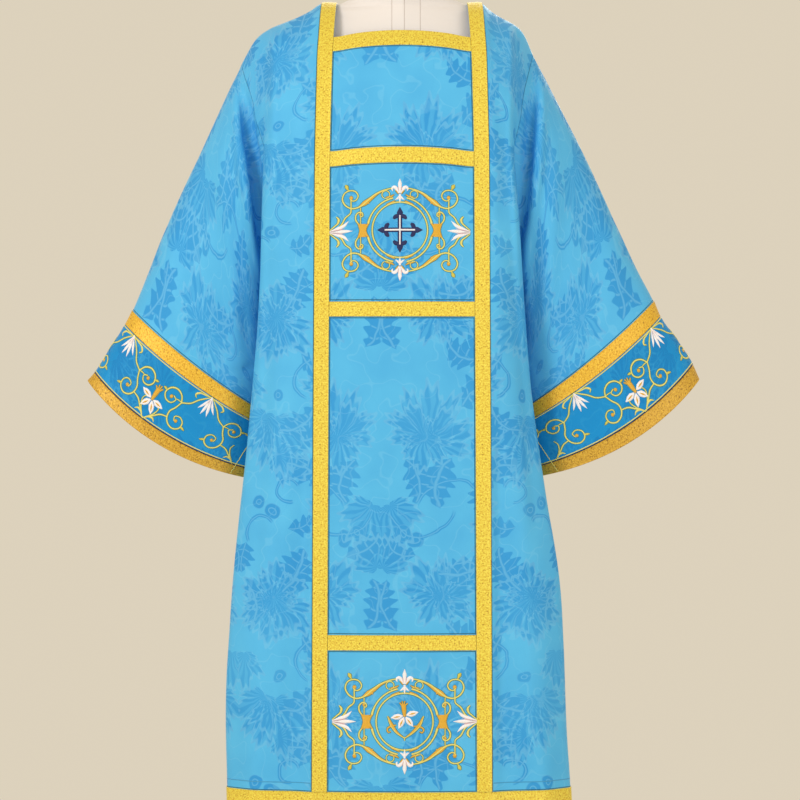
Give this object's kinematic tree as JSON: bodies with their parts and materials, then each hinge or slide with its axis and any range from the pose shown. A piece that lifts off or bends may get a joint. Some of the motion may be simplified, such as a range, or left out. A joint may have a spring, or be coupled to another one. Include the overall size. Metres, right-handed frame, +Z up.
{
  "type": "dalmatic on a limbless dress form",
  "caption": "Wide-sleeved liturgical tunic of floral damask with gold galloons and embroidered cuffs, hung on a limbless dress form with a pole and a round base.",
  "frame": {"origin": "on the floor under the middle of the whole", "axes": "+Z up, -Y towards the front of the vestment, +X towards the right sleeve as the viewer sees it"},
  "size_m": [0.9168, 0.392, 1.5278],
  "materials": {
    "damask": "light blue silk damask, satin figure on a matt ground",
    "galloon": "woven gold galloon",
    "embroidered": "blue satin with gold and white embroidery",
    "linen": "off-white woven cover with seams",
    "wood": "satin varnished",
    "metal": "dark satin paint"
  },
  "bodies": {
    "root": {"front": "damask", "back": "damask", "sleeve_left": "damask", "sleeve_right": "damask", "bar_neck_front": "galloon", "bar_neck_back": "galloon", "bar_chest_front": "galloon", "bar_chest_back": "galloon", "bar_middle_front": "galloon", "bar_middle_back": "galloon", "bar_lower_front": "galloon", "bar_lower_back": "galloon", "hem_band_front": "galloon", "hem_band_back": "galloon", "galloon_left": "galloon", "galloon_right": "galloon", "cuff_galloon_upper_left": "galloon", "cuff_galloon_upper_right": "galloon", "cuff_galloon_lower_left": "galloon", "cuff_galloon_lower_right": "galloon", "cuff_band_left": "embroidered", "cuff_band_right": "embroidered", "form_torso": "linen", "neck_cap": "wood", "pole": "metal", "base": "metal"}
  },
  "joints": []
}
